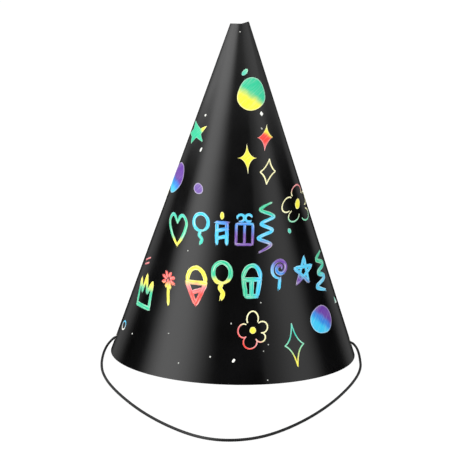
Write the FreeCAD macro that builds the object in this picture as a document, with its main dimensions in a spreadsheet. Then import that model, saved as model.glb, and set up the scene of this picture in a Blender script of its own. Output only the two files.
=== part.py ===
# A cone party hat: one sheet of card rolled into a spiral and taped along its lap, foil
# motifs stamped on the outside, and a round elastic knotted through two holes near the rim.
# Millimetres, +Z up, origin on the table at the middle of the rim, front towards -Y.
import FreeCAD, Part
import math
import os
import Sketcher
from FreeCAD import Matrix, Placement, Rotation, Vector

doc = FreeCAD.newDocument("party_hat")

# ---- driving dimensions -------------------------------------------------------------

sheet = doc.addObject("Spreadsheet::Sheet", "Sizes")
sizes = {
    "base_radius": 60.0,        # outside of the inner layer at the rim
    "tip_radius": 4.3,          # the same at the open tip
    "hat_height": 160.0,
    "corner_rise": 1.0,         # how far the tip's outer corner stands above the cut
    "card_thickness": 0.38,
    "lap_gap": 0.20,            # between the two layers of the lap, where the tape sits
    "lap_angle": 9.6,           # degrees of overlap
    "lap_start": 1.0,           # bearing of the lap's hidden edge, degrees from +X
    "tape_thickness": 0.14,
    "tape_inset": 1.0,          # degrees from each edge of the lap
    "tape_end_gap": 6.0,        # bare length at the rim and at the tip
    "foil_thickness": 0.08,
    "foil_glue": 0.03,          # adhesive between the card and the foil
    "back_turn": 188.0,         # degrees from each motif on the front to its twin behind
    "hole_radius": 1.6,
    "hole_height": 7.2,
    "hole_forward": 5.5,        # how far the holes stand in front of the hat's middle
    "cord_diameter": 1.2,
    "knot_radius": 2.0,
    "knot_length": 3.6,
    "knot_socket": 1.4,         # depth of cord inside the knot
    "knot_fit": 0.05,           # clearance round the cord in the knot
    "tail_length": 7.0,
}
for row, (alias, value) in enumerate(sizes.items(), start=1):
    sheet.set(f"A{row}", alias)
    sheet.set(f"B{row}", str(value))
    sheet.setAlias(f"B{row}", alias)
doc.recompute()


def size(alias):
    return float(sheet.get(alias))


def originPlane(body, role):
    return next(item for item in body.Origin.OriginFeatures if item.Role == role)


def addSketch(body, name, role):
    """A sketch on one of the body's own planes."""
    sketch = body.newObject("Sketcher::SketchObject", name)
    sketch.AttachmentSupport = (originPlane(body, role), [""])
    sketch.MapMode = "FlatFace"
    return sketch


# ---- the rolled card ----------------------------------------------------------------
# The card's section is a spiral of tangent arcs. The first half turn is a circle about the
# axis, the second half turn is a little larger and off centre, and the lap is a circle
# about the axis again, one card and one gap further out.

taper = (size("base_radius") - size("tip_radius")) / size("hat_height")
lapRise = size("card_thickness") + size("lap_gap")
trimHeight = size("hat_height") + 2 * size("corner_rise")
lapStart = math.radians(size("lap_start"))
lapEnd = lapStart + math.radians(size("lap_angle"))


def radiusAt(height):
    return size("base_radius") - taper * height


def spiralArcs(height, offset):
    """Centre along the lap's direction, radius, start and end of each arc of the spiral."""
    radius = radiusAt(height) + offset
    halfTurn = lapStart + math.pi
    fullTurn = lapStart + 2 * math.pi
    return [(0.0, radius, lapStart, halfTurn),
            (lapRise / 2, radius + lapRise / 2, halfTurn, fullTurn),
            (0.0, radius + lapRise, fullTurn, lapEnd + 2 * math.pi)]


def arcEdge(shift, radius, start, end):
    centre = Vector(shift * math.cos(lapStart), shift * math.sin(lapStart), 0)
    return Part.ArcOfCircle(Part.Circle(centre, Vector(0, 0, 1), radius), start, end)


def drawStrip(sketch, outerArcs, innerArcs):
    """Closed outline of a strip between two chains of arcs with the same angles."""
    outer = [arcEdge(*arc) for arc in outerArcs]
    inner = [arcEdge(*arc) for arc in innerArcs]
    startLine = Part.LineSegment(inner[0].StartPoint, outer[0].StartPoint)
    endLine = Part.LineSegment(outer[-1].EndPoint, inner[-1].EndPoint)
    for piece in [startLine] + outer + [endLine] + inner:
        sketch.addGeometry(piece, False)


def addStripLoft(label, arcsAt, outerOffset, innerOffset, low, high):
    """A ruled body between the strip at the low height and the strip at the high one."""
    body = doc.addObject("PartDesign::Body", label)
    body.Label = label
    ends = []
    for name, height in (("low", low), ("high", high)):
        sketch = addSketch(body, f"{label}_{name}", "XY_Plane")
        sketch.AttachmentOffset = Placement(Vector(0, 0, height), Rotation())
        drawStrip(sketch, arcsAt(height, outerOffset), arcsAt(height, innerOffset))
        ends.append(sketch)
    loft = body.newObject("PartDesign::AdditiveLoft", f"{label}_loft")
    loft.Profile = ends[0]
    loft.Sections = [ends[1]]
    loft.Ruled = True
    doc.recompute()
    return body


cone = addStripLoft("cone_card", spiralArcs, 0.0, -size("card_thickness"), 0.0, trimHeight)


def addPocket(body, sketch, name):
    """Cut right through the body both ways, and make sure that something was cut."""
    before = body.Shape.Volume
    pocket = body.newObject("PartDesign::Pocket", name)
    pocket.Profile = sketch
    pocket.Type = "ThroughAll"
    pocket.Midplane = True
    doc.recompute()
    if body.Shape.Volume >= before:
        raise RuntimeError(f"{name} cut nothing")


def cutCordHoles():
    sketch = addSketch(cone, "cord_hole_outline", "YZ_Plane")
    centre = Vector(-size("hole_forward"), size("hole_height"), 0)
    sketch.addGeometry(Part.Circle(centre, Vector(0, 0, 1), size("hole_radius")), False)
    places = {"forward": ("DistanceX", 0, 3, -1, 1, "Sizes.hole_forward"),
              "height": ("DistanceY", -1, 1, 0, 3, "Sizes.hole_height")}
    for name, (kind, first, firstEnd, second, secondEnd, cell) in places.items():
        number = sketch.addConstraint(
            Sketcher.Constraint(kind, first, firstEnd, second, secondEnd, size(cell[6:])))
        sketch.renameConstraint(number, name)
        sketch.setExpression(f"Constraints.{name}", cell)
    number = sketch.addConstraint(Sketcher.Constraint("Radius", 0, size("hole_radius")))
    sketch.renameConstraint(number, "radius")
    sketch.setExpression("Constraints.radius", "Sizes.hole_radius")
    doc.recompute()
    addPocket(cone, sketch, "cord_holes")


def cutTip():
    """The tip's cut is level, then climbs to the outer layer's corner beside the lap."""
    sketch = addSketch(cone, "tip_cut_outline", "XZ_Plane")
    level = size("hat_height")
    reach = 3 * size("tip_radius")
    slopeStart = 0.2 * size("tip_radius")
    slopeEnd = size("tip_radius")
    top = trimHeight + 1
    corners = [(-reach, level), (slopeStart, level), (slopeEnd, level + size("corner_rise")),
               (reach, level + size("corner_rise")), (reach, top), (-reach, top)]
    points = [Vector(x, y, 0) for x, y in corners]
    for first, second in zip(points, points[1:] + points[:1]):
        sketch.addGeometry(Part.LineSegment(first, second), False)
    addPocket(cone, sketch, "tip_cut")


cutCordHoles()
cutTip()


# ---- the tape in the lap ------------------------------------------------------------

def tapeArcs(height, offset):
    inset = math.radians(size("tape_inset"))
    return [(0.0, radiusAt(height) + offset, lapStart + inset, lapEnd - inset)]


tapeInner = (size("lap_gap") - size("tape_thickness")) / 2
seamTape = addStripLoft("seam_tape", tapeArcs, tapeInner + size("tape_thickness"), tapeInner,
                        size("tape_end_gap"), size("hat_height") - size("tape_end_gap"))


# ---- the elastic --------------------------------------------------------------------
# The route runs from the left knot out through its hole, down to the table, round in front
# of the hat on the table and back up through the right hole to its knot.

cordRoute = [
    (-53.9, -5.5, 7.2), (-57.4, -5.5, 7.2), (-59.8, -6.3, 5.0), (-61.4, -8.6, 3.2),
    (-62.2, -13.8, 1.7), (-62.2, -22.0, 0.75), (-61.4, -33.0, 0.6), (-59.4, -47.0, 0.6),
    (-54.5, -65.0, 0.6), (-46.2, -85.5, 0.6), (-35.8, -106.0, 0.6), (-24.0, -123.0, 0.6),
    (-12.5, -134.4, 0.6), (-1.5, -137.9, 0.6), (10.5, -134.1, 0.6), (21.5, -123.3, 0.6),
    (33.0, -106.2, 0.6), (43.8, -84.8, 0.6), (52.8, -61.5, 0.6), (58.3, -43.0, 0.6),
    (61.1, -28.5, 0.6), (61.8, -18.0, 0.95), (61.8, -11.2, 2.6), (60.8, -7.2, 4.9),
    (58.1, -5.5, 7.2), (53.9, -5.5, 7.2)]


def tangentArcPath(points):
    """Straight runs joined by tangent arcs as large as their runs allow."""
    edges = []
    radii = []
    start = points[0]
    for before, corner, after in zip(points, points[1:], points[2:]):
        toBefore = (before - corner).normalize()
        toAfter = (after - corner).normalize()
        halfTurn = (math.pi - toBefore.getAngle(toAfter)) / 2
        setback = 0.45 * min(before.distanceToPoint(corner), corner.distanceToPoint(after))
        radius = setback / math.tan(halfTurn)
        arcStart = corner + toBefore * setback
        arcEnd = corner + toAfter * setback
        bisector = (toBefore + toAfter).normalize()
        middle = corner + bisector * (radius / math.cos(halfTurn) - radius)
        edges.append(Part.LineSegment(start, arcStart).toShape())
        edges.append(Part.Arc(arcStart, middle, arcEnd).toShape())
        radii.append(round(radius, 1))
        start = arcEnd
    edges.append(Part.LineSegment(start, points[-1]).toShape())
    return Part.Wire(edges), radii


def addCord():
    path, radii = tangentArcPath([Vector(*point) for point in cordRoute])
    print("cord bend radii", radii)
    route = doc.addObject("Part::Feature", "cord_path")
    route.Shape = path
    ring = doc.addObject("Part::Circle", "cord_section")
    ring.setExpression("Radius", "Sizes.cord_diameter / 2")
    first, second = path.Vertexes[0].Point, path.Vertexes[1].Point
    ring.Placement = Placement(first, Rotation(Vector(0, 0, 1), second - first))
    tube = doc.addObject("Part::Sweep", "chin_cord")
    tube.Sections = [ring]
    tube.Spine = (route, [f"Edge{number + 1}" for number in range(len(path.Edges))])
    tube.Solid = True
    tube.Frenet = False
    doc.recompute()
    tube.Label = "chin_cord"
    section = math.pi * (size("cord_diameter") / 2) ** 2
    print("cord length", round(path.Length, 1), "volume over section x length",
          round(tube.Shape.Volume / (section * path.Length), 4))
    return tube


chinCord = addCord()


def addKnot(label, cordEnd, turn):
    """Stopper knot: a barrel about the cord's end, with a blind socket and a short tail."""
    body = doc.addObject("PartDesign::Body", label)
    body.Label = label
    sketch = addSketch(body, f"{label}_profile", "XZ_Plane")
    cordRadius = size("cord_diameter") / 2
    socket = cordRadius + size("knot_fit")
    length = size("knot_length")
    shoulder = (size("knot_radius") + socket) / 2
    tailEnd = length + size("tail_length")
    corners = [(0, socket), (0, shoulder), (length, shoulder), (length, cordRadius),
               (tailEnd, cordRadius), (tailEnd, 0), (size("knot_socket"), 0),
               (size("knot_socket"), socket)]
    points = [Vector(x, y, 0) for x, y in corners]
    sides = list(zip(points, points[1:] + points[:1]))
    crown = Vector(length / 2, size("knot_radius"), 0)
    for number, (first, second) in enumerate(sides):
        if number == 1:
            sketch.addGeometry(Part.Arc(first, crown, second), False)
        else:
            sketch.addGeometry(Part.LineSegment(first, second), False)
    revolution = body.newObject("PartDesign::Revolution", f"{label}_turned")
    revolution.Profile = sketch
    revolution.ReferenceAxis = (sketch, ["H_Axis"])
    revolution.Angle = 360
    inward = Rotation(Vector(0, 0, 1), turn)
    mouth = Vector(*cordEnd) - inward.multVec(Vector(size("knot_socket"), 0, 0))
    body.Placement = Placement(mouth, inward)
    doc.recompute()
    return body


knots = [addKnot("knot_left", cordRoute[0], 0), addKnot("knot_right", cordRoute[-1], 180)]


# ---- foil motifs --------------------------------------------------------------------
# Every motif is drawn flat in its own millimetres, right then up the slope, and is pressed
# through a thin layer that follows the card. Each is stamped on the front and again behind.

def foilArcs(height, offset):
    arcs = spiralArcs(height, offset)
    centre, radius, start, end = arcs[0]
    return [(centre, radius, lapEnd + math.radians(size("tape_inset")), end)] + arcs[1:]


foilLayer = addStripLoft("foil_layer", foilArcs, size("foil_glue") + size("foil_thickness"),
                         size("foil_glue"), 0.0, size("hat_height"))


def polygon(points):
    return Part.Face(Part.makePolygon([Vector(x, y, 0) for x, y in points + points[:1]]))


def oval(width, height, tilt=0, centre=(0, 0)):
    """A filled oval, tilted anticlockwise in degrees."""
    long, short = max(width, height) / 2, min(width, height) / 2
    turn = tilt if width >= height else tilt + 90
    if math.isclose(long, short):
        edge = Part.Circle(Vector(*centre, 0), Vector(0, 0, 1), long).toShape()
    else:
        edge = Part.Ellipse(Vector(0, 0, 0), long, short).toShape()
        edge.Placement = Placement(Vector(*centre, 0), Rotation(Vector(0, 0, 1), turn))
    return Part.Face(Part.Wire([edge]))


def sparkle(width, height, pinch=0.16):
    """A four-pointed star with hollow sides."""
    tips = [Vector(0, height / 2), Vector(width / 2, 0), Vector(0, -height / 2),
            Vector(-width / 2, 0)]
    edges = []
    for first, second in zip(tips, tips[1:] + tips[:1]):
        side = Part.BezierCurve()
        side.setPoles([first, (first + second) * pinch, second])
        edges.append(side.toShape())
    return Part.Face(Part.Wire(edges))


def star(radius, waist, turn=0):
    """A filled five-pointed star."""
    points = []
    for step in range(10):
        reach = radius if step % 2 == 0 else waist
        angle = math.radians(90 + turn + 36 * step)
        points.append((reach * math.cos(angle), reach * math.sin(angle)))
    return polygon(points)


def ovalPath(width, height, start=0, end=360, centre=(0, 0), steps=14):
    angles = [math.radians(start + (end - start) * step / steps) for step in range(steps + 1)]
    return [(centre[0] + width / 2 * math.cos(angle), centre[1] + height / 2 * math.sin(angle))
            for angle in angles]


def ribbon(points, width, ends=0.35):
    """A brush stroke along the points, narrower at its ends."""
    left, right = [], []
    for number, (x, y) in enumerate(points):
        before = points[max(number - 1, 0)]
        after = points[min(number + 1, len(points) - 1)]
        run = Vector(after[0] - before[0], after[1] - before[1], 0).normalize()
        atEnd = number in (0, len(points) - 1)
        half = width / 2 * (ends if atEnd else 1)
        left.append((x - run.y * half, y + run.x * half))
        right.append((x + run.y * half, y - run.x * half))
    return polygon(right + left[::-1])


def strokes(width, *paths):
    """Straight strokes get a point a third of the way from each end, to swell between."""
    shapes = []
    for path in paths:
        if len(path) == 2:
            (x1, y1), (x2, y2) = path
            path = [(x1, y1), (x1 + (x2 - x1) / 4, y1 + (y2 - y1) / 4),
                    (x1 + (x2 - x1) * 3 / 4, y1 + (y2 - y1) * 3 / 4), (x2, y2)]
        shapes.append(ribbon(path, width))
    return shapes


def ring(outer, inner):
    return outer.cut(inner)


def sparkleLine(width, height, line, pinch=0.2):
    """The same star as an open line: four hollow sides, each one stroke."""
    tips = [(0, height / 2), (width / 2, 0), (0, -height / 2), (-width / 2, 0)]
    sides = []
    for (x1, y1), (x2, y2) in zip(tips, tips[1:] + tips[:1]):
        side = []
        for step in range(7):
            t = step / 6
            near, bend, far = (1 - t) ** 2, 2 * t * (1 - t) * pinch, t ** 2
            side.append((near * x1 + bend * (x1 + x2) + far * x2,
                         near * y1 + bend * (y1 + y2) + far * y2))
        sides.append(ribbon(side, line, 0.6))
    return sides


def flower(width, height, petals, line, turn):
    """Open petal loops about a bare middle."""
    shapes = []
    for number in range(petals):
        bearing = turn + 360 * number / petals
        angle = math.radians(bearing)
        middle = (0.31 * width * math.cos(angle), 0.31 * height * math.sin(angle))
        loop = ovalPath(0.34 * width, 0.34 * height, bearing - 105, bearing + 105, middle)
        shapes.append(ribbon(loop, line, 0.8))
    return shapes


def heart(width, height):
    left = [(0.0, 0.20), (-0.16, 0.42), (-0.34, 0.44), (-0.47, 0.22), (-0.30, -0.15), (0.0, -0.5)]
    half = [(width * x, height * y) for x, y in left]
    return [half, [(-x, y) for x, y in half]]


def balloon(width, height):
    middle = (0, height * 0.22)
    skin = ovalPath(width, height * 0.56, -75, 255, middle)
    string = [(0, -0.08), (-0.09, -0.2), (0.08, -0.34), (-0.03, -0.5)]
    return [skin, [(width * x, height * y) for x, y in string]]


def candle(width, height):
    side = width * 0.3
    top, bottom = height * 0.15, -height * 0.5
    return [[(-side, bottom), (-side, top)], [(side, bottom), (side, top)],
            [(-side * 1.3, top), (side * 1.3, top)],
            [(-side, bottom * 0.2), (side, bottom * 0.05)],
            [(-side, bottom * 0.65), (side, bottom * 0.5)]]


def gift(width, height):
    side, top, bottom = width / 2, height * 0.1, -height / 2
    loops = [ovalPath(width * 0.42, height * 0.2, start, start + 300,
                      (side * 0.48 * (1 if start < 0 else -1), top + height * 0.17))
             for start in (-110, 20)]
    return [[(-side, top), (-side, bottom)], [(side, top), (side, bottom)],
            [(-side, top), (side, top)], [(-side, bottom), (side, bottom)],
            [(0, top), (0, bottom)]] + loops


def streamer(width, height, zigs):
    """A zigzag of the given number of turns, from the top down."""
    return [[(width / 2 * (-1) ** step, height / 2 - height * step / zigs)
             for step in range(zigs + 1)]]


def crown(width, height):
    side, top, base = width / 2, height / 2, -height * 0.4
    return [[(-side * 0.9, base), (-side, top * 0.7)], [(-side, top * 0.7), (-side * 0.4, 0)],
            [(-side * 0.4, 0), (0, top)], [(0, top), (side * 0.4, 0)],
            [(side * 0.4, 0), (side, top * 0.7)], [(side, top * 0.7), (side * 0.9, base)],
            [(-side, base), (side, base)]]


def sparkler(width, height):
    hub = (0, height * 0.25)
    rays = []
    for step in range(8):
        angle = math.radians(45 * step + 20)
        reach = [(hub[0] + r * math.cos(angle), hub[1] + r * math.sin(angle))
                 for r in (width * 0.2, width * 0.5)]
        rays.append(reach)
    return [[(0.2, -height / 2), hub]] + rays


def iceCream(width, height):
    scoop = ovalPath(width * 0.8, height * 0.7, -10, 190, (0, height * 0.12))
    return [scoop, [(-width * 0.42, height * 0.08), (0, -height / 2)],
            [(width * 0.42, height * 0.08), (0, -height / 2)],
            [(-width * 0.45, height * 0.08), (width * 0.45, height * 0.08)],
            [(-width * 0.2, -height * 0.2), (width * 0.28, -height * 0.08)]]


def cupcake(width, height):
    top = ovalPath(width, height * 0.84, 0, 180, (0, 0))
    return [top, [(-width * 0.45, 0), (-width * 0.3, -height / 2)],
            [(width * 0.45, 0), (width * 0.3, -height / 2)],
            [(-width * 0.5, 0), (width * 0.5, 0)],
            [(-width * 0.3, -height / 2), (width * 0.3, -height / 2)], [(0, 0), (0, -height / 2)]]


def lollipop(width, height):
    middle = (0, height * 0.18)
    spiral = []
    for step in range(25):
        reach = width * (0.08 + 0.42 * step / 24)
        angle = math.radians(630 * step / 24)
        spiral.append((middle[0] + reach * math.cos(angle), middle[1] + reach * math.sin(angle)))
    return [spiral, [(0, middle[1] - width / 2), (-0.4, -height / 2)]]


def starLine(radius):
    tips = [(radius * math.cos(math.radians(90 + 144 * step)),
             radius * math.sin(math.radians(90 + 144 * step))) for step in range(5)]
    return [[first, second] for first, second in zip(tips, tips[1:] + tips[:1])]


thinBrush, wideBrush, line = 1.7, 2.1, 0.9
punchOut, punchIn = 1.5, 4.0    # how far a motif's outline is pushed out of and into the card

# Bearing from the front towards +X in degrees, height, and the flat shapes of the motif.
motifs = {
    "foil_bean": [(12.9, 137.6, [oval(3.8, 2.2, 35)])],
    "foil_big_disc": [(23.8, 128.0, [oval(15.1, 16.1)])],
    "foil_red_sparkle": [(35.3, 108.0, [sparkle(9.1, 11.5)])],
    "foil_yellow_sparkle": [(10.8, 98.2, [sparkle(9.0, 14.6)])],
    "foil_diamond_line": [(31.1, 92.2, sparkleLine(8.8, 12.3, line, 0.4))],
    "foil_star": [(-56.5, 109.2, [star(7.0, 3.0, 14)])],
    "foil_left_disc": [(-72.0, 86.9, [oval(14.6, 14.2)])],
    "foil_purple_dot": [(-34.6, 84.0, [oval(5.4, 5.8)])],
    "foil_side_flower": [(59.5, 76.6, flower(18.0, 17.6, 5, line, 90) + [oval(3.6, 4.6)])],
    "foil_teal_dot": [(42.4, 65.3, [oval(2.2, 2.6)])],
    "foil_edge_strokes": [(-72.0, 47.5, strokes(1.2, [(-3, -0.6), (3, 1.6)], [(-2, -2.6), (3, -1.0)]))],
    "foil_edge_ring": [(-74.0, 15.3, [ring(oval(7.0, 5.0), oval(5.0, 3.2))])],
    "foil_edge_triangle": [(77.0, 28.9, [polygon([(-1.6, -1.4), (2.0, -1.2), (0.2, 2.0)])])],
    "foil_right_disc": [(53.1, 24.1, [oval(17.0, 13.0)])],
    "foil_front_flower": [(9.7, 23.2, flower(14.6, 18.2, 5, line, 90) + [oval(3.2, 3.2)])],
    "foil_sparkle_line": [(30.9, 15.7, sparkleLine(10.3, 19.9, line))],
    "doodle_heart": [(-45.8, 64.7, strokes(thinBrush, *heart(14.0, 14.7)))],
    "doodle_balloon": [(-26.1, 66.3, strokes(thinBrush, *balloon(7.6, 14.2)))],
    "doodle_candle": [(-10.3, 67.5, strokes(thinBrush, *candle(7.7, 15.4))
                       + [oval(1.8, 3.6, 0, (0, 5.6))])],
    "doodle_gift": [(6.5, 67.9, strokes(line, *gift(7.6, 16.0)))],
    "doodle_long_streamer": [(22.7, 67.8, strokes(thinBrush, *streamer(7.0, 23.0, 7)))],
    "doodle_crown": [(-60.9, 33.8, strokes(wideBrush, *crown(13.0, 16.0)))],
    "doodle_sparkler": [(-40.7, 38.6, strokes(thinBrush, *sparkler(7.6, 15.0)))],
    "doodle_ice_cream": [(-22.0, 41.4, strokes(wideBrush, *iceCream(12.0, 17.4)))],
    "doodle_tall_balloon": [(-7.8, 44.3, strokes(wideBrush, *balloon(8.6, 17.4)))],
    "doodle_cupcake": [(10.2, 45.1, strokes(wideBrush, *cupcake(8.6, 15.4)))],
    "doodle_lollipop": [(28.4, 47.0, strokes(thinBrush, *lollipop(9.4, 14.0)))],
    "doodle_star": [(48.0, 46.8, strokes(wideBrush, *starLine(7.0)))],
    "doodle_streamer": [(63.9, 44.6, strokes(wideBrush, *streamer(8.6, 18.0, 6)))],
    "foil_specks": [(bearing, height, [oval(width, tall)]) for bearing, height, width, tall in [
        (0.7, 156.2, 0.8, 0.8), (35.5, 118.5, 1.9, 2.1), (31.9, 111.9, 1.3, 1.4),
        (-51.3, 117.1, 1.5, 1.5), (-42.6, 101.4, 1.5, 2.4), (-32.2, 56.1, 0.8, 0.8),
        (-59.7, 14.4, 0.8, 0.8), (-33.5, 19.2, 0.8, 0.8), (-25.2, 7.4, 0.8, 0.8),
        (-10.4, 11.5, 0.8, 0.8), (-1.2, 26.1, 0.8, 0.8), (0.6, 10.1, 0.9, 1.8),
        (14.7, 35.0, 0.8, 0.8), (14.5, 14.2, 0.8, 0.8), (17.1, 16.8, 0.8, 0.8)]],
}


def tangentPlane(bearing, height):
    """Placement whose X runs to the right, Y up the slope and Z straight out of the card."""
    lean = math.atan(taper)
    angle = math.radians(bearing)
    across = Vector(math.cos(angle), math.sin(angle), 0)
    out = Vector(math.cos(lean) * math.sin(angle), -math.cos(lean) * math.cos(angle),
                 math.sin(lean))
    up = out.cross(across)
    place = Vector(math.sin(angle), -math.cos(angle), 0) * radiusAt(height)
    place.z = height
    return Placement(Matrix(across.x, up.x, out.x, place.x, across.y, up.y, out.y, place.y,
                            across.z, up.z, out.z, place.z, 0, 0, 0, 1))


def joined(faces):
    """One face for each set of strokes that touch."""
    groups = []
    for face in faces:
        apart, together = [], [face]
        for group in groups:
            if any(face.distToShape(other)[0] < 0.001 for other in group):
                together += group
            else:
                apart.append(group)
        groups = apart + [together]
    merged = [group[0].multiFuse(group[1:]).removeSplitter() if len(group) > 1 else group[0]
              for group in groups]
    return Part.makeCompound(merged)


def addMotif(label, stamps):
    """The motif's outlines pushed through the foil layer, on the front and half way round."""
    punches = []
    for number, (bearing, height, faces) in enumerate(stamps):
        flat = joined(faces)
        for side, turn in (("front", 0), ("back", size("back_turn"))):
            outline = doc.addObject("Part::Feature", f"{label}_{side}_{number}")
            outline.Shape = flat
            outline.Placement = tangentPlane(bearing + turn, height)
            punch = doc.addObject("Part::Extrusion", f"{outline.Name}_punch")
            punch.Base = outline
            punch.DirMode = "Custom"
            punch.Dir = outline.Placement.Rotation.multVec(Vector(0, 0, 1))
            punch.LengthFwd = punchOut
            punch.LengthRev = min(punchIn, radiusAt(height))
            punch.Solid = True
            punches.append(punch)
    group = doc.addObject("Part::Compound", f"{label}_punches")
    group.Links = punches
    motif = doc.addObject("Part::Common", label)
    motif.Base = foilLayer
    motif.Tool = group
    doc.recompute()
    motif.Label = label
    return motif


foils = [addMotif(label, stamps) for label, stamps in motifs.items()]


# ---- check and write ----------------------------------------------------------------

doc.recompute()
failed = [item.Name for item in doc.Objects if "Invalid" in item.State or "Error" in item.State]
if failed:
    raise RuntimeError(f"these objects failed: {failed}")

os.makedirs("parts", exist_ok=True)
pieces = [cone, seamTape, chinCord] + knots + foils
broken = [part.Label for part in pieces
          if part.Shape.isNull() or not part.Shape.isValid() or not part.Shape.Solids]
if broken:
    raise RuntimeError(f"no valid solid in {broken}")
for part in pieces:
    part.Shape.exportStep(f"parts/{part.Label}.step")
    print(part.Label, "solids", len(part.Shape.Solids), "volume", round(part.Shape.Volume, 2))
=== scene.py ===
import bmesh
import bpy
import math
from mathutils import Matrix, Vector, noise


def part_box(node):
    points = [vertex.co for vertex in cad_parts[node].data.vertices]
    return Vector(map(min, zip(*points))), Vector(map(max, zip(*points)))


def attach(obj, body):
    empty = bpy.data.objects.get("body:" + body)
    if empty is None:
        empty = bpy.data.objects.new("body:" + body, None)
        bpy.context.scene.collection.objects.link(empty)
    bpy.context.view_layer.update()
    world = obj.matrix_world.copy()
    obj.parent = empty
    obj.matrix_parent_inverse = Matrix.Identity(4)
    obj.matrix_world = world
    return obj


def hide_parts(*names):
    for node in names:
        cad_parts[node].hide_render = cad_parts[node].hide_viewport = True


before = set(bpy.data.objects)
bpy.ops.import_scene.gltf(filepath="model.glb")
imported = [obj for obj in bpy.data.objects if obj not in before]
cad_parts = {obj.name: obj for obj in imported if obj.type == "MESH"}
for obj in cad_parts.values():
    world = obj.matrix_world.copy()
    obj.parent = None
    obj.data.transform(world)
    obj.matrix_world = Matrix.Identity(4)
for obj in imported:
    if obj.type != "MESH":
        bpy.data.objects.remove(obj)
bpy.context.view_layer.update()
mm = 0.001
scene = bpy.context.scene
print("frame loaded")


# sRGB hex to the linear colour that the shaders take
def linear(hexColour, alpha=1.0):
    channels = [int(hexColour[place:place + 2], 16) / 255 for place in (1, 3, 5)]
    return (*[c / 12.92 if c <= 0.04045 else ((c + 0.055) / 1.055) ** 2.4 for c in channels], alpha)


# Adds a node, sets its properties, and fills its sockets with values or with other nodes' outputs
def addNode(tree, kind, sockets=None, **settings):
    node = tree.nodes.new(kind)
    for key, value in settings.items():
        setattr(node, key, value)
    for socket, source in (sockets or {}).items():
        if isinstance(source, bpy.types.NodeSocket):
            tree.links.new(source, node.inputs[socket])
        else:
            node.inputs[socket].default_value = source
    return node


# An empty node material with its output and one Principled shader
def startMaterial(name, **sockets):
    material = bpy.data.materials.new(name)
    material.use_nodes = True
    tree = material.node_tree
    tree.nodes.clear()
    shader = addNode(tree, "ShaderNodeBsdfPrincipled",
                     {key.replace("_", " "): value for key, value in sockets.items()})
    addNode(tree, "ShaderNodeOutputMaterial", {"Surface": shader.outputs["BSDF"]})
    return material, tree, shader


def smoothStep(low, high, value):
    t = min(max((value - low) / (high - low), 0.0), 1.0)
    return t * t * (3 - 2 * t)


# Turns a finished bmesh into a piece that stands for CAD nodes and rides on a body
def finishPiece(name, mesh, material, body, nodes, slot, sharpAngle=35):
    data = bpy.data.meshes.new(name)
    mesh.to_mesh(data)
    mesh.free()
    for entry in material if isinstance(material, list) else [material]:
        data.materials.append(entry)
    data.shade_smooth()
    data.set_sharp_from_angle(angle=math.radians(sharpAngle))
    piece = bpy.data.objects.new(name, data)
    scene.collection.objects.link(piece)
    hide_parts(*nodes)
    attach(piece, body)
    return piece


# A grid of cells bent to shape: place(u, v) gives each point, and uvSize the size of the pattern
# space; gives back each vertex with its u and v
def bentGrid(mesh, along, across, place, uvSize=(1.0, 1.0)):
    made = bmesh.ops.create_grid(mesh, x_segments=along, y_segments=across, size=0.5)["verts"]
    layer = mesh.loops.layers.uv.verify()
    spots = {vert: (vert.co.x + 0.5, vert.co.y + 0.5) for vert in made}
    for vert, (u, v) in spots.items():
        vert.co = place(u, v)
        for loop in vert.link_loops:
            loop[layer].uv = (u * uvSize[0], v * uvSize[1])
    return spots


camera = {
    "place": (0.0, -600 * mm, 160.8 * mm),
    "pitchDown": 9.54,          # degrees below level
    "roll": 1.25,
    "lens": 97.0,               # focal length and width of the sensor in millimetres
    "sensor": 36,
    "shift": -0.0084,
}
lensData = bpy.data.cameras.new("productCamera")
lensData.sensor_width = camera["sensor"]
lensData.lens = camera["lens"]
lensData.shift_x = camera["shift"]
cameraObject = bpy.data.objects.new("productCamera", lensData)
cameraObject.matrix_world = (Matrix.Translation(camera["place"])
                             @ Matrix.Rotation(math.radians(90 - camera["pitchDown"]), 4, "X")
                             @ Matrix.Rotation(math.radians(camera["roll"]), 4, "Z"))
scene.collection.objects.link(cameraObject)
scene.camera = cameraObject
print("camera placed")


elastic = {
    "diameter": 1.2 * mm,
    "length": 321.6 * mm,
    "around": 24,               # cells round the cord
    "fineness": 46,             # steps along each part of the spline
    "carriers": 8,              # yarns round the braid in each direction
    "pitch": 3.4 * mm,          # length of one turn of a yarn, coarser than the real 2 mm so that it shows
    "relief": 0.035 * mm,       # how far the yarns stand proud
    "seam": 0.002 * mm,         # points closer than this are one point
}

# The elastic's route in millimetres: from the left knot out through its hole, down to the
# table, round in front of the hat and back up through the right hole
elasticRoute = [
    (-53.9, -5.5, 7.2), (-57.4, -5.5, 7.2), (-59.8, -6.3, 5.0), (-61.4, -8.6, 3.2),
    (-62.2, -13.8, 1.7), (-62.2, -22.0, 0.75), (-61.4, -33.0, 0.6), (-59.4, -47.0, 0.6),
    (-54.5, -65.0, 0.6), (-46.2, -85.5, 0.6), (-35.8, -106.0, 0.6), (-24.0, -123.0, 0.6),
    (-12.5, -134.4, 0.6), (-1.5, -137.9, 0.6), (10.5, -134.1, 0.6), (21.5, -123.3, 0.6),
    (33.0, -106.2, 0.6), (43.8, -84.8, 0.6), (52.8, -61.5, 0.6), (58.3, -43.0, 0.6),
    (61.1, -28.5, 0.6), (61.8, -18.0, 0.95), (61.8, -11.2, 2.6), (60.8, -7.2, 4.9),
    (58.1, -5.5, 7.2), (53.9, -5.5, 7.2)]


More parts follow.
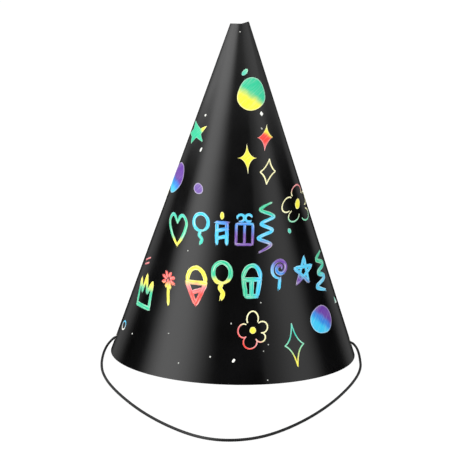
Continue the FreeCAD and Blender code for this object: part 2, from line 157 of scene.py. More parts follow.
# Points along a smooth spline through the air, given its control points in metres
def splinePoints(name, points, fineness):
    data = bpy.data.curves.new(name, "CURVE")
    data.dimensions = "3D"
    data.resolution_u = fineness
    spline = data.splines.new("NURBS")
    spline.points.add(len(points) - 1)
    for target, place in zip(spline.points, points):
        target.co = (*place, 1.0)
    spline.order_u = 3
    spline.use_endpoint_u = True
    guide = bpy.data.objects.new(name, data)
    scene.collection.objects.link(guide)
    bpy.context.view_layer.update()
    evaluated = guide.evaluated_get(bpy.context.evaluated_depsgraph_get())
    line = bpy.data.meshes.new_from_object(evaluated)
    found = [vert.co.copy() for vert in line.vertices]
    bpy.data.objects.remove(guide)
    return found


# A braided tube along the points: two sets of yarns cross round it in opposite screws
def braidedTube(mesh, points, radius):
    runs = [(b - a).length for a, b in zip(points, points[1:])]
    travelled = [0.0]
    for run in runs:
        travelled.append(travelled[-1] + run)
    tangents = [(points[min(i + 1, len(points) - 1)] - points[max(i - 1, 0)]).normalized()
                for i in range(len(points))]
    side = tangents[0].orthogonal().normalized()
    sides = []
    for tangent in tangents:
        side = (side - tangent * side.dot(tangent)).normalized()
        sides.append(side.copy())
    last = len(points) - 1

    def place(u, v):
        ring = round(u * last)
        angle = 2 * math.pi * v
        screw = 2 * math.pi * travelled[ring] / elastic["pitch"]
        half = elastic["carriers"] / 2
        yarn = max(math.sin(half * (angle + screw)), math.sin(half * (angle - screw)))
        reach = radius - elastic["relief"] * (0.9 - yarn)
        across = tangents[ring].cross(sides[ring])
        return points[ring] + (sides[ring] * math.cos(angle) + across * math.sin(angle)) * reach

    size = (travelled[-1] / mm, math.pi * 2 * radius / mm)
    spots = bentGrid(mesh, last, elastic["around"], place, size)
    bmesh.ops.remove_doubles(mesh, verts=list(spots), dist=elastic["seam"])
    bmesh.ops.holes_fill(mesh, edges=[edge for edge in mesh.edges if edge.is_boundary], sides=0)
    bmesh.ops.recalc_face_normals(mesh, faces=mesh.faces)


# Braided polyester over rubber: matt black yarn with a faint sheen; the base colour has a painted highlight,
# a little lighter along each yarn's crown, and painted shade, darker in the gaps between yarns, with fine
# random lint
def braidMaterial():
    material, tree, shader = startMaterial("braided black polyester elastic", Roughness=0.5,
                                           Sheen_Weight=0.08, Sheen_Roughness=0.4)
    where = addNode(tree, "ShaderNodeTexCoord")
    wide = addNode(tree, "ShaderNodeMapping", {"Vector": where.outputs["UV"], "Scale": (0.9, 2.1, 1.0)})
    yarns = addNode(tree, "ShaderNodeTexWave", {"Vector": wide.outputs["Vector"], "Scale": 0.55,
                                                "Distortion": 0.6, "Detail": 1.0},
                    wave_type="BANDS", bands_direction="DIAGONAL")
    lint = addNode(tree, "ShaderNodeTexNoise",
                   {"Vector": where.outputs["Object"], "Scale": 900.0, "Detail": 3.0})
    # yarn bands times fine lint: in the base colour the crowns get a painted highlight and the gaps painted
    # shade
    crownLightGapShadeAndLint = addNode(tree, "ShaderNodeMath", {0: yarns.outputs["Fac"], 1: lint.outputs["Fac"]},
                   operation="MULTIPLY")
    # base colour ramp: lighter end is painted highlight on yarn crowns, darker end painted shade in the gaps
    tone = addNode(tree, "ShaderNodeValToRGB", {"Fac": crownLightGapShadeAndLint.outputs["Value"]})
    tone.color_ramp.elements[0].color = linear("#030303")
    tone.color_ramp.elements[1].color = linear("#141415")
    tree.links.new(tone.outputs["Color"], shader.inputs["Base Color"])
    bump = addNode(tree, "ShaderNodeBump",
                   {"Height": crownLightGapShadeAndLint.outputs["Value"], "Strength": 0.5, "Distance": 0.05 * mm})
    tree.links.new(bump.outputs["Normal"], shader.inputs["Normal"])
    return material


braid = braidMaterial()
routeInMetres = [Vector(point) * mm for point in elasticRoute]
cordPoints = splinePoints("elasticLine", routeInMetres, elastic["fineness"])
cordMesh = bmesh.new()
braidedTube(cordMesh, cordPoints, elastic["diameter"] / 2)
chinElastic = finishPiece("chinElastic", cordMesh, braid, "elastic", ["chin_cord"], "elastic", 80)
chinElastic.visible_glossy = False      # its thin mirror image in the card would look like a scratch
print("elastic laid")


knot = {
    "turns": 2.3,
    "wrapRadius": 1.28 * mm,    # from the knot's middle line to the wrapping cord's own
    "wrapEnd": 3.2 * mm,        # where the wraps begin, from the card, and where they stop
    "wrapStart": 0.7 * mm,
    "wrapSteps": 18,
    "tailDroop": 1.6 * mm,
}


# A double overhand knot: the cord runs through, wraps back over itself and leaves as a tail
def stopperKnot(node, inward):
    low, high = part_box(node)
    mouth = low.x if inward > 0 else high.x
    reach = high.x - low.x
    middle = Vector((mouth, (low.y + high.y) / 2, (low.z + high.z) / 2))
    route = [(0.1 * mm, 0, 0.2 * mm), (2.4 * mm, 0, 0.25 * mm)]
    for step in range(knot["wrapSteps"] + 1):
        share = step / knot["wrapSteps"]
        angle = math.pi / 2 - 2 * math.pi * knot["turns"] * share
        radius = knot["wrapRadius"] * (0.7 + 0.3 * math.sin(math.pi * share) ** 0.5)
        along = knot["wrapEnd"] - (knot["wrapEnd"] - knot["wrapStart"]) * share
        route.append((along, radius * math.cos(angle), radius * math.sin(angle)))
    droop = knot["tailDroop"]
    route += [(0.9 * mm, 0, -0.3 * mm), (2.6 * mm, 0, -0.3 * mm), (4.2 * mm, 0.2 * mm, -0.4 * mm),
              (6.6 * mm, 0.5 * mm, -0.35 * droop), (reach * 0.85, 0.3 * mm, -0.7 * droop),
              (reach - 0.4 * mm, 0.1 * mm, -droop)]
    points = [middle + Vector((x * inward, y, z)) for x, y, z in route]
    mesh = bmesh.new()
    braidedTube(mesh, splinePoints(node, points, 10), elastic["diameter"] / 2 * 0.96)
    name = "leftStopperKnot" if inward > 0 else "rightStopperKnot"
    return finishPiece(name, mesh, braid, "elastic", [node], "elastic", 80)


knots = [stopperKnot("knot_left", 1), stopperKnot("knot_right", -1)]
tuple(cordPoints[0])
[tuple(point) for point in cordPoints]
print("knots tied")


cardLow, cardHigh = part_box("cone_card")
card = {
    "thickness": 0.38 * mm,
    "lapGap": 0.20 * mm,
    "lapStart": 1.0,            # degrees from +X, the hidden edge of the lap
    "lapAngle": 9.6,
    "tipRadius": 4.3 * mm,
    "cornerRise": 1.0 * mm,
    "holeRadius": 1.6 * mm,
    "curl": 0.07 * mm,          # how far the sheet wanders from a true cone
    "cells": (246, 84),         # round and up
}
lapRise = card["thickness"] + card["lapGap"]
hatHeight = cardHigh.z - card["cornerRise"]
rimRadius = -cardLow.y - lapRise / 2
taper = (rimRadius - card["tipRadius"]) / hatHeight
lean = math.atan(taper)


# How far a real sheet stands off the true cone: soft curl, none beside the lap
def curl(sweep, height):
    turn = math.radians(sweep)
    calm = smoothStep(12, 40, sweep) * (1 - smoothStep(325, 350, sweep))
    wave = (math.sin(3 * turn + height / (38 * mm)) + 0.6 * math.sin(7 * turn - height / (21 * mm) + 1.3)
            + 0.5 * math.sin(5 * turn + height / (55 * mm) + 4.0))
    return card["curl"] * calm * wave * min(1.0, height / (12 * mm) + 0.3)


# A point on the card's outer face, or `out` off it, by degrees round from the lap's hidden edge
def onRoll(sweep, height, out=0.0):
    angle = math.radians(card["lapStart"] + sweep)
    radius = rimRadius - taper * height + out + curl(sweep, height)
    shift = 0.0
    if sweep > 360:
        radius += lapRise
    elif sweep > 180:
        radius += lapRise / 2
        shift = lapRise / 2
    start = math.radians(card["lapStart"])
    return Vector((shift * math.cos(start) + radius * math.cos(angle),
                   shift * math.sin(start) + radius * math.sin(angle), height))


# The same by bearing, in degrees from the front towards +X
def onCard(bearing, height, out=0.0):
    return onRoll((bearing - 90 - card["lapStart"]) % 360, height, out)


def rollCard():
    mesh = bmesh.new()
    fullSweep = 360 + card["lapAngle"]

    def place(u, v):
        sweep = u * fullSweep
        tip = onRoll(sweep, hatHeight)
        climb = (tip.x - 0.2 * card["tipRadius"]) / (0.8 * card["tipRadius"])
        top = hatHeight + card["cornerRise"] * min(max(climb, 0.0), 1.0)
        return onRoll(sweep, v * top)

    bentGrid(mesh, *card["cells"], place)
    for face in mesh.faces:
        middle = face.calc_center_median()
        if face.normal.dot(Vector((middle.x, middle.y, 0))) < 0:
            face.normal_flip()
    mesh.normal_update()
    bmesh.ops.solidify(mesh, geom=mesh.faces[:], thickness=card["thickness"])
    for vert in mesh.verts:      # the blank is cut so that the rim lies flat
        vert.co.z = max(vert.co.z, 0.0)
    return mesh


cardMesh = rollCard()


# Black gloss laminate on printed card: near black, mirror streaks with a slight orange peel,
# a breath of dust and a few hairline rubs
def laminateMaterial():
    material, tree, shader = startMaterial("black gloss laminated card", Roughness=0.15)
    where = addNode(tree, "ShaderNodeTexCoord")
    cloud = addNode(tree, "ShaderNodeTexNoise",
                    {"Vector": where.outputs["Object"], "Scale": 55.0, "Detail": 4.0})
    tone = addNode(tree, "ShaderNodeValToRGB", {"Fac": cloud.outputs["Fac"]})
    tone.color_ramp.elements[0].color = linear("#070707")
    tone.color_ramp.elements[0].position = 0.3
    tone.color_ramp.elements[1].color = linear("#0c0c0d")
    tone.color_ramp.elements[1].position = 0.75
    tree.links.new(tone.outputs["Color"], shader.inputs["Base Color"])
    rub = addNode(tree, "ShaderNodeMapRange", {"Value": cloud.outputs["Fac"], "From Min": 0.3,
                                               "From Max": 0.75, "To Min": 0.13, "To Max": 0.19})
    tree.links.new(rub.outputs["Result"], shader.inputs["Roughness"])
    peel = addNode(tree, "ShaderNodeTexNoise",
                   {"Vector": where.outputs["Object"], "Scale": 700.0, "Detail": 2.0})
    bump = addNode(tree, "ShaderNodeBump",
                   {"Height": peel.outputs["Fac"], "Strength": 0.12, "Distance": 0.02 * mm})
    tree.links.new(bump.outputs["Normal"], shader.inputs["Normal"])
    return material


# Uncoated back of the board: warm white, matt, with short fibres
def boardMaterial():
    material, tree, shader = startMaterial("uncoated white board", Roughness=0.88)
    where = addNode(tree, "ShaderNodeTexCoord")
    fibre = addNode(tree, "ShaderNodeTexNoise", {"Vector": where.outputs["Object"], "Scale": 420.0,
                                                 "Detail": 6.0, "Roughness": 0.7})
    tone = addNode(tree, "ShaderNodeValToRGB", {"Fac": fibre.outputs["Fac"]})
    tone.color_ramp.elements[0].color = linear("#c9c5bb")
    tone.color_ramp.elements[0].position = 0.35
    tone.color_ramp.elements[1].color = linear("#e9e6dd")
    tone.color_ramp.elements[1].position = 0.6
    tree.links.new(tone.outputs["Color"], shader.inputs["Base Color"])
    bump = addNode(tree, "ShaderNodeBump",
                   {"Height": fibre.outputs["Fac"], "Strength": 0.35, "Distance": 0.04 * mm})
    tree.links.new(bump.outputs["Normal"], shader.inputs["Normal"])
    return material


laminate = laminateMaterial()
board = boardMaterial()


# The punch that cuts both cord holes at one stroke
def punchHoles(mesh):
    low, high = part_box("knot_left")
    data = bpy.data.meshes.new("cardBlank")
    mesh.to_mesh(data)
    mesh.free()
    blank = bpy.data.objects.new("cardBlank", data)
    scene.collection.objects.link(blank)
    punchMesh = bmesh.new()
    bmesh.ops.create_cone(punchMesh, cap_ends=True, segments=48, radius1=card["holeRadius"],
                          radius2=card["holeRadius"], depth=2.4 * rimRadius)
    bmesh.ops.rotate(punchMesh, cent=(0, 0, 0), matrix=Matrix.Rotation(math.pi / 2, 3, "Y"),
                     verts=punchMesh.verts)
    bmesh.ops.translate(punchMesh, vec=(0, (low.y + high.y) / 2, (low.z + high.z) / 2),
                        verts=punchMesh.verts)
    punchData = bpy.data.meshes.new("holePunch")
    punchMesh.to_mesh(punchData)
    punchMesh.free()
    punch = bpy.data.objects.new("holePunch", punchData)
    scene.collection.objects.link(punch)
    cut = blank.modifiers.new("holes", "BOOLEAN")
    cut.operation = "DIFFERENCE"
    cut.solver = "EXACT"
    cut.object = punch
    bpy.context.view_layer.update()
    evaluated = blank.evaluated_get(bpy.context.evaluated_depsgraph_get())
    result = bmesh.new()
    result.from_mesh(evaluated.to_mesh())
    bpy.data.objects.remove(blank)
    bpy.data.objects.remove(punch)
    return result


cardMesh = punchHoles(cardMesh)
for face in cardMesh.faces:
    middle = face.calc_center_median()
    outward = Vector((middle.x, middle.y, 0)).normalized()
    face.material_index = 0 if face.normal.dot(outward) > 0.5 else 1
openEdges = sum(edge.is_boundary for edge in cardMesh.edges)
print("card punched", len(cardMesh.faces), "open edges", openEdges)
finishPiece("rolledCard", cardMesh, [laminate, board], "hat", ["cone_card"], "gloss_card")


# Double-sided tissue tape: milky, slightly yellow, a little shine
def tapeMaterial():
    material, tree, shader = startMaterial("double-sided tissue tape", Roughness=0.35)
    where = addNode(tree, "ShaderNodeTexCoord")
    tissue = addNode(tree, "ShaderNodeTexNoise",
                     {"Vector": where.outputs["Object"], "Scale": 600.0, "Detail": 4.0})
    tone = addNode(tree, "ShaderNodeValToRGB", {"Fac": tissue.outputs["Fac"]})
    tone.color_ramp.elements[0].color = linear("#cfcbb8")
    tone.color_ramp.elements[1].color = linear("#efece0")
    tree.links.new(tone.outputs["Color"], shader.inputs["Base Color"])
    return material


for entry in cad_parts["seam_tape"].material_slots:
    entry.material = tapeMaterial()
print("card rolled and taped")


foil = {
    "lift": 0.11 * mm,          # top of the foil above the card
    "thickness": 0.06 * mm,
    "layerRise": 0.012 * mm,    # each further stroke of a motif lies this much higher
    "rimWidth": 0.4,            # of the whitish edge round a filled shape
    "backTurn": 188.0,          # degrees from each motif to its twin behind
    "mostSlant": 0.6,           # most that a motif leans, as a share of its height
    "strokeCell": 0.45,         # length of a stroke's cells, in millimetres, and their number across
    "strokeAcross": 8,
    "swell": 0.16,              # how uneven a stroke's sides are, as a share of its width
    "narrowing": 0.45,          # how much it narrows at its ends
    "fray": 0.9,                # how unevenly its ends fray and how far they reach, in widths
    "frayReach": 0.1,
    "strokeWhite": 0.22,        # whitening at the edges of strokes and of filled shapes
    "shapeWhite": 0.4,
    "shapeStreaks": 0.25,       # how streaky the foil is on a filled shape
    "largeRadius": 3,           # millimetres, above which a filled shape has the finer cells
    "largeCells": (96, 12),     # cells round and across it
    "smallCells": (28, 4),
    "seam": 0.004 * mm,         # points closer than this are one point
    "pale": "#f7f8ee",          # worn, whitish edge of the foil
}

inks = {name: Vector(linear(value)[:3]) for name, value in {
    "green": "#31c897", "yellow": "#fbf040", "red": "#f9443c", "pink": "#f07f84",
    "cyan": "#38c8f4", "blue": "#2f86e0", "purple": "#6a3aa4", "teal": "#36cdb4",
    "cream": "#fbf6bc", "white": "#f8f9f2", "mint": "#7cdcb0",
    "violet": "#7052a2", "lime": "#a8e870", "pale": "#d4d6d0", "grey": "#8c8e8a"}.items()}


# Where a flat drawing in millimetres falls on the card when it is pressed straight in; slant
# leans it sideways
def presser(bearing, height, slant=0.0):
    middleRadius = rimRadius - taper * height

    def press(x, y, out=0.0):
        x, y = (x + slant * y) * mm, y * mm
        depth = 0.0
        for _ in range(4):
            rise = height + y * math.cos(lean) + depth * math.sin(lean)
            radius = rimRadius - taper * rise
            ahead = math.sqrt(max(radius * radius - x * x, 0.0))
            depth = (ahead - middleRadius + y * math.sin(lean)) / math.cos(lean)
        return onCard(bearing + math.degrees(math.atan2(x, ahead)), rise, out)

    return press


# Colour across a motif: named inks at places from -1 to 1 along a direction
def inkGradient(direction, size, stops):
    aim = Vector((math.cos(math.radians(direction)), math.sin(math.radians(direction))))

    def shade(x, y):
        place = Vector((x, y)).dot(aim) / (size / 2) + 0.12 * noise.noise(Vector((x * 0.35, y * 0.35, 2.0)))
        for (low, first), (high, second) in zip(stops, stops[1:]):
            if place <= high:
                return inks[first].lerp(inks[second], smoothStep(low, high, place))
        return inks[stops[-1][1]]

    return shade


# A point a share t of the way along a smooth line through the points
def alongLine(points, t):
    place = t * (len(points) - 1)
    i = min(int(place), len(points) - 2)
    f = place - i
    p0, p1, p2, p3 = (Vector(points[min(max(k, 0), len(points) - 1)]) for k in range(i - 1, i + 3))
    square = 2 * p0 - 5 * p1 + 4 * p2 - p3
    cube = 3 * p1 - p0 - 3 * p2 + p3
    return 0.5 * (2 * p1 + (p2 - p0) * f + square * f ** 2 + cube * f ** 3)


def loopPoints(width, height, start=0, end=360, centre=(0, 0), steps=14):
    angles = [math.radians(start + (end - start) * step / steps) for step in range(steps + 1)]
    return [(centre[0] + width / 2 * math.cos(a), centre[1] + height / 2 * math.sin(a)) for a in angles]


# One brush stroke: uneven sides, frayed ends, and a whitish edge; the last value of its colour
# says how streaky the foil is
def brushStroke(mesh, press, shade, points, width, layer, fray=1.0):
    tones = mesh.verts.layers.float_color["foilTone"]
    length = sum((Vector(b) - Vector(a)).length for a, b in zip(points, points[1:]))
    along = max(10, round(length / foil["strokeCell"]))
    seed = points[0][0] * 3.7 + points[-1][1] * 1.9 + length
    lift = foil["lift"] + layer * foil["layerRise"]
    flat = {}

    def place(u, v):
        centre = alongLine(points, u)
        run = (alongLine(points, min(u + 0.01, 1)) - alongLine(points, max(u - 0.01, 0))).normalized()
        side = 2 * v - 1
        atEnd = smoothStep(0.72, 1.0, abs(2 * u - 1))
        swell = 1 + foil["swell"] * noise.noise(Vector((u * length * 0.6, side * 0.7, seed)))
        half = width / 2 * swell * (1 - foil["narrowing"] * fray * atEnd)
        ragged = foil["fray"] * noise.noise(Vector((v * 6.3, seed, u)))
        reach = fray * width * (ragged + foil["frayReach"])
        spot = centre + Vector((-run.y, run.x)) * side * half + run * reach * atEnd * (1 if u > 0.5 else -1)
        flat[(round(u, 5), round(v, 5))] = spot
        return press(spot.x, spot.y, lift)

    spots = bentGrid(mesh, along, foil["strokeAcross"], place, (length, width))
    for vert, (u, v) in spots.items():
        spot = flat[(round(u, 5), round(v, 5))]
        edge = max(smoothStep(0.7, 1.0, abs(2 * v - 1)), smoothStep(0.9, 1.0, abs(2 * u - 1)))
        vert[tones] = (*shade(spot.x, spot.y).lerp(inks["white"], foil["strokeWhite"] * edge), 1.0)


# One filled shape about its middle: rim(angle) is its radius in millimetres
def filledShape(mesh, press, shade, rim, centre, layer):
    tones = mesh.verts.layers.float_color["foilTone"]
    lift = foil["lift"] + layer * foil["layerRise"]
    largest = max(rim(math.radians(a)) for a in range(0, 360, 6))
    around, rings = foil["largeCells"] if largest > foil["largeRadius"] else foil["smallCells"]

    def flatSpot(u, v):
        angle = 2 * math.pi * u
        reach = rim(angle) * v
        return centre[0] + reach * math.cos(angle), centre[1] + reach * math.sin(angle)

    spots = bentGrid(mesh, around, rings, lambda u, v: press(*flatSpot(u, v), lift))
    layerUv = mesh.loops.layers.uv.verify()
    for vert, (u, v) in spots.items():
        x, y = flatSpot(u, v)
        inset = rim(2 * math.pi * u) * (1 - v)
        edge = 1 - smoothStep(0.0, foil["rimWidth"], inset)
        vert[tones] = (*shade(x, y).lerp(inks["white"], foil["shapeWhite"] * edge), foil["shapeStreaks"])
        for loop in vert.link_loops:
            loop[layerUv].uv = (x * 0.7 + y * 0.7, y * 0.7 - x * 0.7)
    bmesh.ops.remove_doubles(mesh, verts=list(spots), dist=foil["seam"])


def ovalRim(width, height, tilt=0, narrowTop=0.0):
    a, b = width / 2, height / 2

    def rim(angle):
        turn = angle - math.radians(tilt)
        wobble = 1 + 0.012 * math.sin(3 * angle + width) + 0.01 * math.sin(5 * angle + height)
        wobble *= 1 - narrowTop * math.sin(angle) * math.cos(angle) ** 2
        return wobble * a * b / math.hypot(b * math.cos(turn), a * math.sin(turn))
    return rim


# Four points with hollow sides between them; power 1 gives straight sides
def sparkleRim(width, height, power=0.62, low=1.0):
    def rim(angle):
        tall = height / 2 * (low if math.sin(angle) < 0 else 1.0)
        across = abs(math.cos(angle) / (width / 2)) ** power
        return (across + abs(math.sin(angle) / tall) ** power) ** (-1 / power)
    return rim


# A straight-sided outline through the corners
def cornerRim(corners):
    corners = sorted(corners, key=lambda corner: math.atan2(corner[1], corner[0]) % (2 * math.pi))
    turns = [math.atan2(y, x) % (2 * math.pi) for x, y in corners]

    def rim(angle):
        angle %= 2 * math.pi
        after = next((k for k, turn in enumerate(turns) if turn > angle), 0)
        (x1, y1), (x2, y2) = corners[after - 1], corners[after]
        dx, dy = x2 - x1, y2 - y1
        return (x1 * dy - y1 * dx) / (math.cos(angle) * dy - math.sin(angle) * dx)
    return rim


def sparkleStrokes(width, height, pinch):
    tips = [(0, height / 2), (width / 2, 0), (0, -height / 2), (-width / 2, 0)]
    return [[((1 - t) ** 2 * x1 + 2 * t * (1 - t) * pinch * (x1 + x2) + t * t * x2,
              (1 - t) ** 2 * y1 + 2 * t * (1 - t) * pinch * (y1 + y2) + t * t * y2)
             for t in (0, .2, .4, .6, .8, 1)]
            for (x1, y1), (x2, y2) in zip(tips, tips[1:] + tips[:1])]


# Open loops for petals, each with its middle, width and height
def petalStrokes(petals, opening=118):
    strokes = []
    for x, y, width, height in petals:
        bearing = math.degrees(math.atan2(y, x))
        strokes.append(loopPoints(width, height, bearing - opening, bearing + opening, (x, y)))
    return strokes


def scaled(width, height, points):
    return [(width * x, height * y) for x, y in points]


halfHeart = [(0.0, 0.20), (-0.16, 0.42), (-0.34, 0.44), (-0.47, 0.22), (-0.30, -0.15), (0.0, -0.5)]
balloonString = [(0, -0.08), (-0.09, -0.2), (0.08, -0.34), (-0.03, -0.5)]


def balloonStrokes(width, height):
    return [loopPoints(width, height * 0.56, -75, 285, (0, height * 0.22)),
            scaled(width, height, balloonString)]


def zigzag(width, height, zigs):
    return [[(width / 2 * (-1) ** step * (0.8 + 0.2 * (step % 3)), height / 2 - height * step / zigs)
             for step in range(zigs + 1)]]


def sparklerStrokes(width, height):
    hub = (0, height * 0.25)
    rays = [[(hub[0] + r * math.cos(a), hub[1] + r * math.sin(a)) for r in (width * 0.2, width * 0.5)]
            for a in (math.radians(45 * step + 20) for step in range(8))]
    return [[(0.2, -height / 2), (0.05, -height * 0.1), hub]] + rays


def spiralStroke(width, height):
    middle = height * 0.18
    coil = [(width * (0.08 + 0.42 * s / 24) * math.cos(math.radians(630 * s / 24)),
             middle + width * (0.08 + 0.42 * s / 24) * math.sin(math.radians(630 * s / 24)))
            for s in range(25)]
    return [coil, [(0, middle - width / 2), (-0.4, -height / 2)]]


# Widths of the brushes in millimetres
thin, wide, fine = 1.6, 2.0, 0.62

starCorners = [(5.8, 4.1), (1.8, 2.0), (-6.4, 5.9), (-4.6, 1.4), (-8.6, -0.6), (-4.0, -2.4), (-2.5, -5.9),
               (0.6, -2.5), (6.4, -4.1), (3.4, -0.6)]
sidePetals = [(-0.6, 5.8, 11.0, 6.2), (9.0, 2.2, 6.6, 6.4), (8.8, -5.6, 9.6, 5.6), (-2.4, -4.9, 8.2, 5.6),
              (-7.9, 0.6, 7.6, 6.6)]
frontPetals = [(-0.2, 5.2, 5.2, 7.0), (4.3, 1.4, 5.0, 5.2), (3.6, -3.2, 4.6, 4.3), (-1.1, -5.2, 6.2, 6.2),
               (-4.2, -0.1, 5.0, 6.2)]
